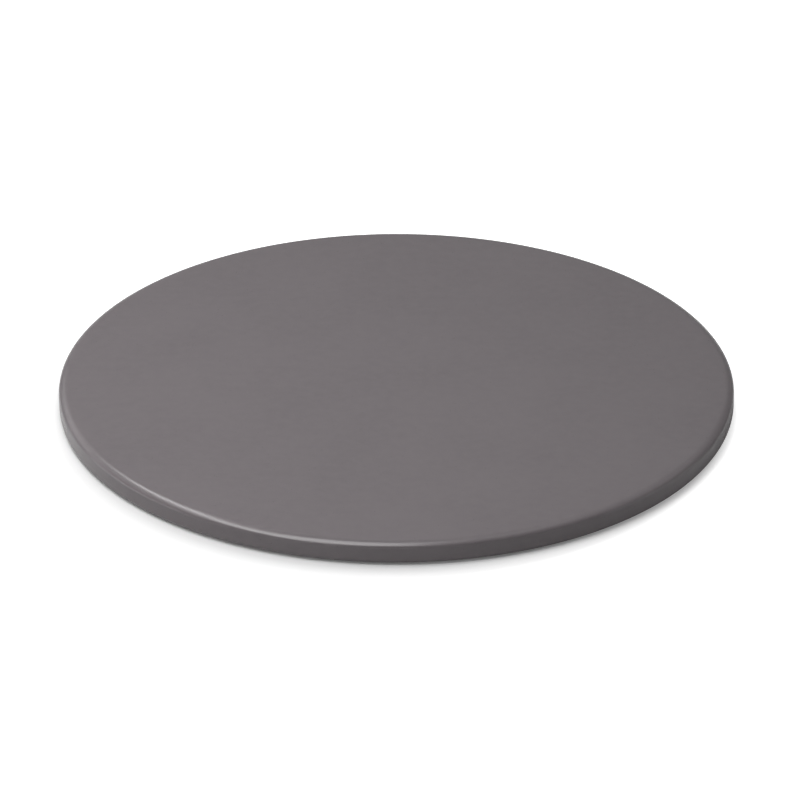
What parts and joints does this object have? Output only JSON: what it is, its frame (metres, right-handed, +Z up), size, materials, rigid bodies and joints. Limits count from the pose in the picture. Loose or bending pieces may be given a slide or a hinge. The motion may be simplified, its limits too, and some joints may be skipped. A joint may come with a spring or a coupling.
{
  "type": "pizza stone",
  "caption": "Round flat baking stone with a satin glaze over its top and softly rounded rim, standing on a bare foot ring round a shallow recessed underside.",
  "frame": {"origin": "centre of the footprint, on the surface the stone stands on", "axes": "+Z up through the baking face, along the axis of the round slab; +X and +Y level, and alike by symmetry"},
  "size_m": [0.365, 0.365, 0.0125],
  "materials": {
    "bare_ceramic": "matte",
    "glaze": "satin"
  },
  "bodies": {
    "root": {"stone_body": "bare_ceramic", "glaze_coat": "glaze"}
  },
  "joints": []
}
